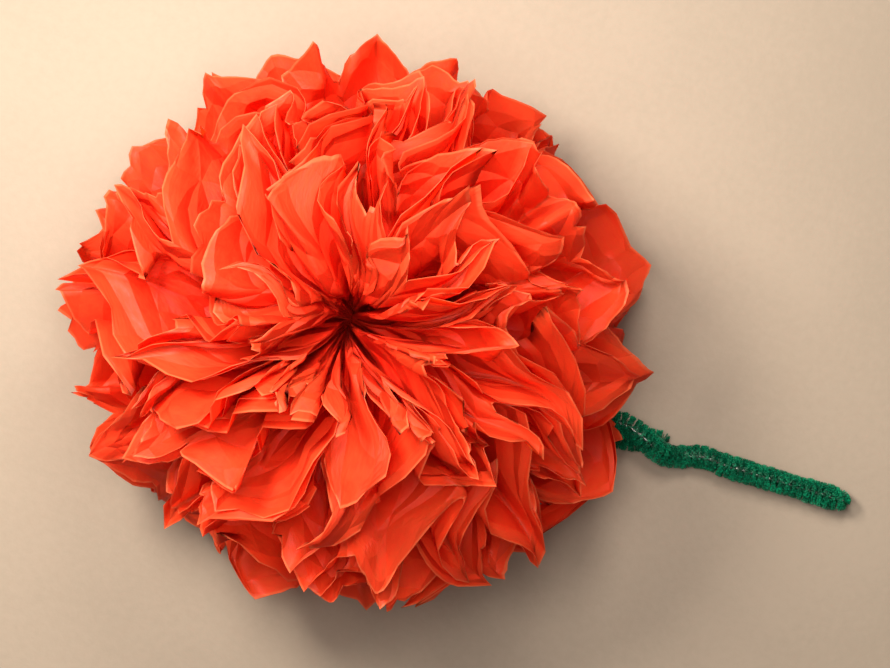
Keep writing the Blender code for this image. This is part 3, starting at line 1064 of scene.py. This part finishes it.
@dataclass
class ChenilleStem:
    """The chenille stem: its way round the waist, the twist, its wires and its pile."""

    # The wire's way
    length: float = 305 * MM
    diameter: float = 6.3 * MM
    pressed_radius: float = 1.8 * MM
    fluffed_radius: float = 3.0 * MM
    fluffed_after: float = 14 * MM
    clearance: float = 0.3 * MM
    short_leg_reach: float = 89 * MM
    twist_pitch: float = 28 * MM
    bow: float = math.radians(2.3)
    sweep: float = math.radians(2.8)
    tie_height: float = 24 * MM
    waist_half_width: float = 4.5 * MM
    bundle_height: float = 6.7 * MM
    short_end_gap: float = 4 * MM
    opening_length: float = 15 * MM
    twist_steps: int = 11
    corner_steps: int = 3
    free_steps: int = 3

    # The pile, its fibres, and the two core wires
    doublings: int = 14
    fibre_width: float = 0.17 * MM
    wrap_pitch: float = 3.8 * MM
    wire_radius: float = 0.20 * MM
    wire_steps: int = 8
    tuft_length: float = 0.7 * MM
    tuft_unevenness: float = 0.10
    tuft_count: int = 2048
    turn_spread: float = 0.34
    lean_spread: float = 0.12
    longest_fibre: float = 1.08
    fibre_unevenness: float = 0.3
    fibre_sameness: float = 2.5
    end_taper: float = 0.4
    root_share: float = 0.1
    thinnest_fibre: float = 0.7
    thickest_fibre: float = 1.25
    table_gap: float = 0.15 * MM
    splay: float = 1.1
    splay_length: float = 1.6 * MM
    finish: PileFinish = field(default_factory=PileFinish)
    wire_finish: WireFinish = field(default_factory=WireFinish)

    @property
    def twist_radius(self) -> float:
        """Give the distance of each leg's middle from the middle of the twist."""
        return self.pressed_radius + self.clearance / 2

    @property
    def rest_height(self) -> float:
        """Give the height of the twist's middle where it lies on the table."""
        return self.twist_radius + self.pressed_radius

    @property
    def twist_start_height(self) -> float:
        """Give the height where the two legs come together below the loop."""
        return self.tie_height - self.bundle_height / 2 - 2 * (self.pressed_radius + self.clearance)

    @property
    def twisted_run(self) -> float:
        """Give how long the middle line of the twisted stretch is."""
        radius = self.twist_start_height - self.rest_height
        return self.short_leg_reach - radius + radius * math.pi / 2

    def loop(self) -> list[Vector]:
        """Follow the wire round the waist, in the plane x = 0.

        Returns:
            The points, measured from the flower's axis.
        """
        high = self.bundle_height / 2
        offset = self.pressed_radius + self.clearance
        # For each corner its side, its height and the angle it starts from, in degrees
        corners = ((-1, -high, 270), (-1, high, 180), (1, high, 90), (1, -high, 0))
        path = []
        for side, z, start in corners:
            for step in range(self.corner_steps + 1):
                angle = math.radians(start - 90 * step / self.corner_steps)
                y = side * self.waist_half_width + offset * math.cos(angle)
                path.append(Vector((0, y, self.tie_height + z + offset * math.sin(angle))))
        return path

    def line(self, run: float) -> tuple[Vector, Vector]:
        """Follow the middle of the twisted stretch, and of the long leg after it.

        Args:
            run: The distance along it.

        Returns:
            The point and its normal in the bend's plane.
        """
        radius = self.twist_start_height - self.rest_height
        quarter = radius * math.pi / 2
        if run < quarter:
            angle = run / radius
            height = self.twist_start_height - radius * math.sin(angle)
            point = Vector((radius * (1 - math.cos(angle)), 0, height))
            normal = Vector((math.cos(angle), 0, math.sin(angle)))
        else:
            point = Vector((radius + run - quarter, 0, self.rest_height))
            normal = Vector((0, 0, 1))
        point.y = -math.tan(self.bow) * min(point.x, self.short_leg_reach)
        point.y += math.tan(self.sweep) * max(point.x - self.short_leg_reach, 0)
        return point, normal

    def opening(self, run: float) -> float:
        """Give how far the long leg has opened out past the short leg's end, from 0 to 1."""
        return float(ease(np.array((run - self.twisted_run - self.short_end_gap) / self.opening_length)))

    def pile_radius(self, run: float) -> float:
        """Give how far the pile stands out: it is pressed at the loop and fluffs out beyond it.

        Args:
            run: The distance along the twist's middle.

        Returns:
            The radius.
        """
        fluffed = float(ease(np.array(run / self.fluffed_after - 1)))
        twisted = self.pressed_radius + (self.fluffed_radius - self.pressed_radius) * fluffed
        return twisted + (self.diameter / 2 - twisted) * self.opening(run)

    def leg_point(self, sign: int, run: float) -> Vector:
        """Place a point of a leg: it winds about the twist's middle, then comes to lie on the table.

        Args:
            sign: -1 for the short leg and 1 for the long one.
            run: The distance along the twist's middle.

        Returns:
            The point, measured from the flower's axis.
        """
        point, normal = self.line(run)
        turn = FULL_TURN * run / self.twist_pitch
        offset = math.cos(turn) * Vector((0, 1, 0)) + math.sin(turn) * normal
        opened = self.opening(run)
        lowered = Vector((0, 0, self.diameter / 2 - self.rest_height)) * opened
        return point + lowered + sign * self.twist_radius * (1 - opened) * offset

    def leg_runs(self, length: float) -> list[float]:
        """Step along the twist's middle line up to a length, from the loop."""
        steps = round(length / (self.twist_pitch / self.twist_steps))
        return [length * step / steps for step in range(steps + 1)]

    def path(self) -> tuple[np.ndarray, np.ndarray, int]:
        """Follow the stem from the short leg's end to the long leg's.

        Returns:
            The points, the pile's radius at each, and the number of points up to the end of
            the loop.
        """
        short_runs = self.leg_runs(self.twisted_run)[::-1]
        loop = self.loop()
        tied = [self.leg_point(-1, run) for run in short_runs] + loop
        long_runs = self.leg_runs(self.twisted_run + self.short_end_gap + self.opening_length)
        points = tied + [self.leg_point(1, run) for run in long_runs]
        radii = [self.pile_radius(run) for run in short_runs]
        radii += [self.pressed_radius] * len(loop)
        radii += [self.pile_radius(run) for run in long_runs]
        done = sum((after - before).length for before, after in zip(points, points[1:]))
        free = (self.length - done) * math.cos(self.sweep)
        for step in range(1, self.free_steps + 1):
            points.append(self.leg_point(1, long_runs[-1] + free * step / self.free_steps))
            radii.append(self.diameter / 2)
        return np.array(points), np.array(radii), len(tied)

    def end_point(self) -> Vector:
        """Give the long leg's end, measured from the flower's axis."""
        return Vector(self.path()[0][-1])


@dataclass
class StemRoute:
    """A smooth, evenly stepped route along the stem, with a frame that doesn't spin."""

    points: np.ndarray
    radii: np.ndarray
    step: float = 0.4 * MM
    smoothing_steps: int = 4

    def __post_init__(self) -> None:
        """Resample the route and carry a normal along it."""
        self.gaps = np.linalg.norm(np.diff(self.points, axis=0), axis=1)
        marks = np.concatenate([[0], np.cumsum(self.gaps)])
        self.total = marks[-1]
        self.marks = np.linspace(0, self.total, round(self.total / self.step) + 1)
        centre = np.stack([np.interp(self.marks, marks, self.points[:, axis]) for axis in range(3)], axis=1)
        beyond = self.smoothing_steps
        window = np.hanning(2 * beyond + 1)
        padded = np.concatenate([np.repeat(centre[:1], beyond, 0), centre, np.repeat(centre[-1:], beyond, 0)])
        smooth = [np.convolve(padded[:, axis], window / window.sum(), mode="valid") for axis in range(3)]
        self.centre = np.stack(smooth, axis=1)
        self.radius = np.interp(self.marks, marks, self.radii)
        self.tangent = unit(np.gradient(self.centre, axis=0))
        normal = np.cross(self.tangent[0], (0.0, 0.0, 1.0))
        normals = []
        for direction in self.tangent:
            normal = normal - direction * (normal @ direction)
            normal = normal / np.linalg.norm(normal)
            normals.append(normal)
        self.normal = np.array(normals)
        self.binormal = np.cross(self.tangent, self.normal)

    def at(self, values: np.ndarray, run: np.ndarray) -> np.ndarray:
        """Read one of the route's quantities at distances along it.

        Args:
            values: The quantity at the route's steps, one number or three.
            run: The distances.

        Returns:
            The quantity there.
        """
        if values.ndim == 1:
            return np.interp(run, self.marks, values)
        return np.stack([np.interp(run, self.marks, values[:, axis]) for axis in range(3)], axis=1)

    def aside(self, run: np.ndarray, turn: np.ndarray) -> np.ndarray:
        """Give the directions away from the route at distances along it and angles round it."""
        ahead = self.at(self.normal, run) * np.cos(turn)[:, None]
        return ahead + self.at(self.binormal, run) * np.sin(turn)[:, None]


@dataclass
class StemDressing:
    """The stem's visible pieces, made along its route."""

    stem: ChenilleStem
    axis: Vector

    def wires(self, route: StemRoute) -> bpy.types.Object:
        """Twist the two steel wires round each other along the route.

        Args:
            route: The stem's route.

        Returns:
            The piece.
        """
        curve = bpy.data.curves.new("wires", "CURVE")
        curve.dimensions = "3D"
        curve.bevel_depth = self.stem.wire_radius
        curve.bevel_resolution = 0
        curve.use_fill_caps = True
        steps = round(route.total / (self.stem.wrap_pitch / self.stem.wire_steps))
        run = np.linspace(0, route.total, steps)
        turn = FULL_TURN * run / self.stem.wrap_pitch
        for phase in (0.0, math.pi):
            aside = route.aside(run, turn + phase)
            places = route.at(route.centre, run) + aside * self.stem.wire_radius
            spline = curve.splines.new("POLY")
            spline.points.add(len(places) - 1)
            spline.points.foreach_set("co", np.column_stack([places, np.ones(len(places))]).ravel())
        holder = bpy.data.objects.new("wires", curve)
        bpy.context.scene.collection.objects.link(holder)
        bpy.context.view_layer.update()
        depsgraph = bpy.context.evaluated_depsgraph_get()
        mesh = bpy.data.meshes.new_from_object(holder.evaluated_get(depsgraph))
        bpy.data.objects.remove(holder)
        piece = piece_from("stem_wires", mesh, self.stem.wire_finish.material(), smooth=True)
        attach(piece, "root")
        return piece

    def fibre_copies(self, doublings: int) -> tuple[bpy.types.Mesh, np.ndarray]:
        """Copy one thin three-sided fibre by doubling.

        Args:
            doublings: How often everything made so far is copied.

        Returns:
            The mesh, and the number of the fibre that each vertex belongs to.
        """
        bm = bmesh.new()
        bmesh.ops.create_cone(bm, cap_ends=True, segments=3, radius1=1.0, radius2=0.0, depth=1.0)
        for _ in range(doublings):
            bmesh.ops.duplicate(bm, geom=bm.verts[:] + bm.edges[:] + bm.faces[:])
        mesh = mesh_from(bm, "fibres")
        corner = corner_vertices(mesh)
        lowest = np.repeat(corner.reshape(-1, 3).min(axis=1), 3)
        first = np.arange(len(mesh.vertices))
        np.minimum.at(first, corner, lowest)
        return mesh, np.unique(first, return_inverse=True)[1]

    def splay(self, past_end: np.ndarray) -> np.ndarray:
        """Give how far fibres lean out of an end of the stem, by their distance from it."""
        return self.stem.splay * np.clip(1 - past_end / self.stem.splay_length, 0, 1)

    def pile(self, route: StemRoute, name: str, start: float, end: float, seed: int) -> bpy.types.Object:
        """Set fibres all round a stretch of the route, in the double screw of the twisted wires.

        Args:
            route: The stem's route.
            name: The piece's name.
            start: Where the stretch begins.
            end: Where it ends.
            seed: Picks their small differences.

        Returns:
            The piece.
        """
        stem = self.stem
        random = np.random.RandomState(seed)
        mesh, fibre = self.fibre_copies(stem.doublings)
        count = 2 ** stem.doublings
        run = random.uniform(start, end, count)
        turn = FULL_TURN * run / stem.wrap_pitch + math.pi * random.randint(0, 2, count)
        turn = turn + random.normal(0, stem.turn_spread, count)
        tangent = route.at(route.tangent, run)
        lean = random.normal(0, stem.lean_spread, count)
        lean = lean - self.splay(run) + self.splay(route.total - run)
        outward = unit(route.aside(run, turn) + tangent * lean[:, None])
        centre = route.at(route.centre, run)
        tufts = random.uniform(-stem.tuft_unevenness, stem.tuft_unevenness, stem.tuft_count)
        shares = stem.longest_fibre + np.interp(run / stem.tuft_length, np.arange(stem.tuft_count), tufts)
        inside = np.minimum(run, route.total - run) / stem.splay_length
        shares = shares * np.clip(1 - stem.end_taper + stem.end_taper * inside, 0, 1)
        shares = shares - stem.fibre_unevenness * random.uniform(0, 1, count) ** stem.fibre_sameness
        reach = route.at(route.radius, run) * shares
        base = centre + outward * reach[:, None]
        base[:, 2] = np.maximum(base[:, 2], stem.table_gap)
        apex = centre + outward * (stem.root_share * reach)[:, None]
        along = apex - base
        up = unit(along)
        first = unit(np.cross(up, tangent))
        second = np.cross(up, first)
        width = stem.fibre_width * random.uniform(stem.thinnest_fibre, stem.thickest_fibre, count)
        template = vertex_places(mesh)
        aside = template[:, 0:1] * first[fibre] + template[:, 1:2] * second[fibre]
        places = base[fibre] + aside * width[fibre, None] + (template[:, 2:3] + 0.5) * along[fibre]
        mesh.vertices.foreach_set("co", places.astype(np.float32).ravel())
        mesh.update()
        piece = piece_from(name, mesh, stem.finish.material(), smooth=False)
        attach(piece, "root")
        return piece

    def build(self) -> list[bpy.types.Object]:
        """Make the wires and the pile.

        Returns:
            The pieces.
        """
        points, radii, tied = self.stem.path()
        route = StemRoute(points + np.array(self.axis), radii)
        tied_run = float(route.gaps[:tied - 1].sum())
        open_run = tied_run + self.stem.twisted_run
        short_leg = self.pile(route, "stem_pile_short_leg", 0.0, tied_run, seed=31)
        long_leg = self.pile(route, "stem_pile_long_leg", tied_run, open_run, seed=33)
        opened = self.pile(route, "stem_pile_open", open_run, route.total, seed=32)
        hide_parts("chenille_stem")
        return [self.wires(route), short_leg, long_leg, opened]


@dataclass(frozen=True)
class SoftLamp:
    """A square lamp that looks at the flower."""

    name: str
    place: Place
    size: float
    watts: float
    colour: Colour


@dataclass
class Studio:
    """The table, the soft lamps, the pale surroundings and the camera."""

    axis: Vector
    turn: float = math.radians(19.4)
    camera_place: Place = (0.0226, -0.0017, 0.50)
    sensor_width: float = 36
    focal_pixels: float = 1802
    picture_pixels: float = 890
    lamps_aim: Place = (0, 0, 0.03)
    table_half_width: float = 2.5
    surroundings: Colour = (1.0, 0.93, 0.85)
    surroundings_strength: float = 0.22
    lamps: tuple[SoftLamp, ...] = (
        SoftLamp("lamp_upper_left", (-0.16, 0.15, 0.29), 0.12, 1.95, (1.0, 0.91, 0.78)),
        SoftLamp("lamp_upper_right", (0.07, 0.19, 0.29), 0.12, 0.75, (1.0, 0.91, 0.80)),
        SoftLamp("lamp_above", (0.0, 0.0, 0.28), 0.12, 0.42, (1.0, 0.92, 0.82)),
    )
    table_finish: TableFinish = field(default_factory=TableFinish)

    def placed(self, place: Place) -> Vector:
        """Turn a place given along the picture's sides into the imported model's frame.

        Args:
            place: The place to the right, up the picture and towards the camera, from the flower's axis.

        Returns:
            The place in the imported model's frame.
        """
        x, y, z = place
        cos, sin = math.cos(self.turn), math.sin(self.turn)
        return Vector((x * cos - y * sin, x * sin + y * cos, z)) + self.axis

    def table(self) -> bpy.types.Object:
        """Lay the table under the flower.

        Returns:
            The table.
        """
        bm = bmesh.new()
        bmesh.ops.create_grid(bm, x_segments=4, y_segments=4, size=self.table_half_width)
        mesh = mesh_from(bm, "table")
        table = piece_from("table_top", mesh, self.table_finish.material(), smooth=False)
        return table

    def light(self) -> None:
        """Hang the lamps and set the pale surroundings."""
        for lamp in self.lamps:
            light = bpy.data.lights.new(lamp.name, "AREA")
            light.size = lamp.size
            light.energy = lamp.watts
            light.color = lamp.colour
            holder = bpy.data.objects.new(lamp.name, light)
            holder.location = self.placed(lamp.place)
            holder.visible_camera = False
            aim = self.axis + Vector(self.lamps_aim) - holder.location
            holder.rotation_euler = aim.to_track_quat("-Z", "Y").to_euler()
            bpy.context.scene.collection.objects.link(holder)
        world = bpy.data.worlds.new("pale_surroundings")
        world.use_nodes = True
        background = world.node_tree.nodes["Background"]
        background.inputs["Color"].default_value = (*self.surroundings, 1.0)
        background.inputs["Strength"].default_value = self.surroundings_strength
        bpy.context.scene.world = world

    def camera(self) -> None:
        """Look straight down on the flower, with the stem running off to the lower right."""
        data = bpy.data.cameras.new("camera")
        data.sensor_width = self.sensor_width
        data.lens = self.sensor_width * self.focal_pixels / self.picture_pixels
        camera = bpy.data.objects.new("camera", data)
        camera.location = self.placed(self.camera_place)
        camera.rotation_euler = (0, 0, self.turn)
        bpy.context.scene.collection.objects.link(camera)
        bpy.context.scene.camera = camera

    def build(self) -> None:
        """Set up everything round the flower."""
        self.table()
        self.light()
        self.camera()
        bpy.context.scene.view_settings.view_transform = "Standard"


def flower_axis(stem: ChenilleStem) -> Vector:
    """Find where the flower's axis meets the table, from the mount at the stem's end."""
    mounts = {mount["name"]: mount for mount in frame["record"]["mounts"]}
    return Vector(mounts["stem_end"]["pos_m"]) - stem.end_point()


def main() -> None:
    """Build the flower and its surroundings, and report each piece."""
    logging.basicConfig(level=logging.INFO, format="%(message)s")
    stem = ChenilleStem()
    axis = flower_axis(stem)
    pieces = FoldedSheets(axis, stem).build()
    pieces += StemDressing(stem, axis).build()
    for piece in pieces:
        LOG.info("%s: %d faces", piece.name, len(piece.data.polygons))
    Studio(axis).build()


if __name__ == "__main__":
    main()
